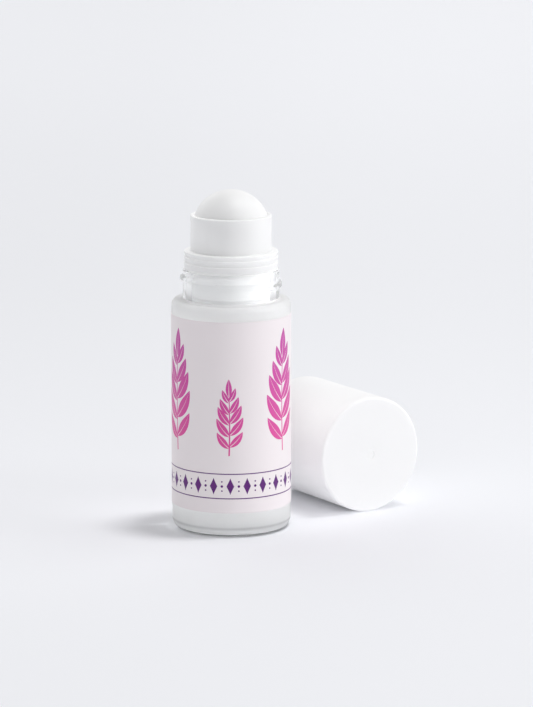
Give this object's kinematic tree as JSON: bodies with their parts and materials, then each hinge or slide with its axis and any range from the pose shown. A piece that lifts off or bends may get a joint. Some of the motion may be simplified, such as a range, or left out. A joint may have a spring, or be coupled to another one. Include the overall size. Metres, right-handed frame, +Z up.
{
  "type": "roll on bottle",
  "caption": "Frosted glass roll on bottle with a clear screw neck, white ball applicator and pale wrap label, its smooth white screw cap lying beside it.",
  "frame": {"origin": "on the bottle's axis, in the plane of the flat ring that it stands on", "axes": "+Z up along the bottle's axis; +X from the bottle towards the cap that lies beside it; the cap's axis lies along Y with its closed end towards -Y"},
  "size_m": [0.0886, 0.0527, 0.1123],
  "materials": {
    "frosted_glass": "acid etched on the body, clear and polished on the neck",
    "label_film": "smooth satin film, very pale pink, printed",
    "roller_plastic": "natural white polyethylene, slightly translucent",
    "ball_plastic": "polished white polypropylene",
    "cap_plastic": "smooth satin white polypropylene",
    "liner_plastic": "natural white polypropylene"
  },
  "bodies": {
    "bottle_body": {"bottle": "frosted_glass", "wrap_label": "label_film", "roller_housing": "roller_plastic"},
    "ball": {"roller_ball": "ball_plastic"},
    "cap": {"cap_shell": "cap_plastic", "cap_liner": "liner_plastic"}
  },
  "joints": [
    {"name": "ball_roll", "type": "hinge", "parent": "bottle_body", "child": "ball", "pos_m": [0, 0, 0.09955], "axis": [1, 0, 0], "continuous": true},
    {"name": "cap_lift", "type": "slide", "parent": "bottle_body", "child": "cap", "axis": [0, 0, 1], "range_m": [0, 0.12]}
  ]
}
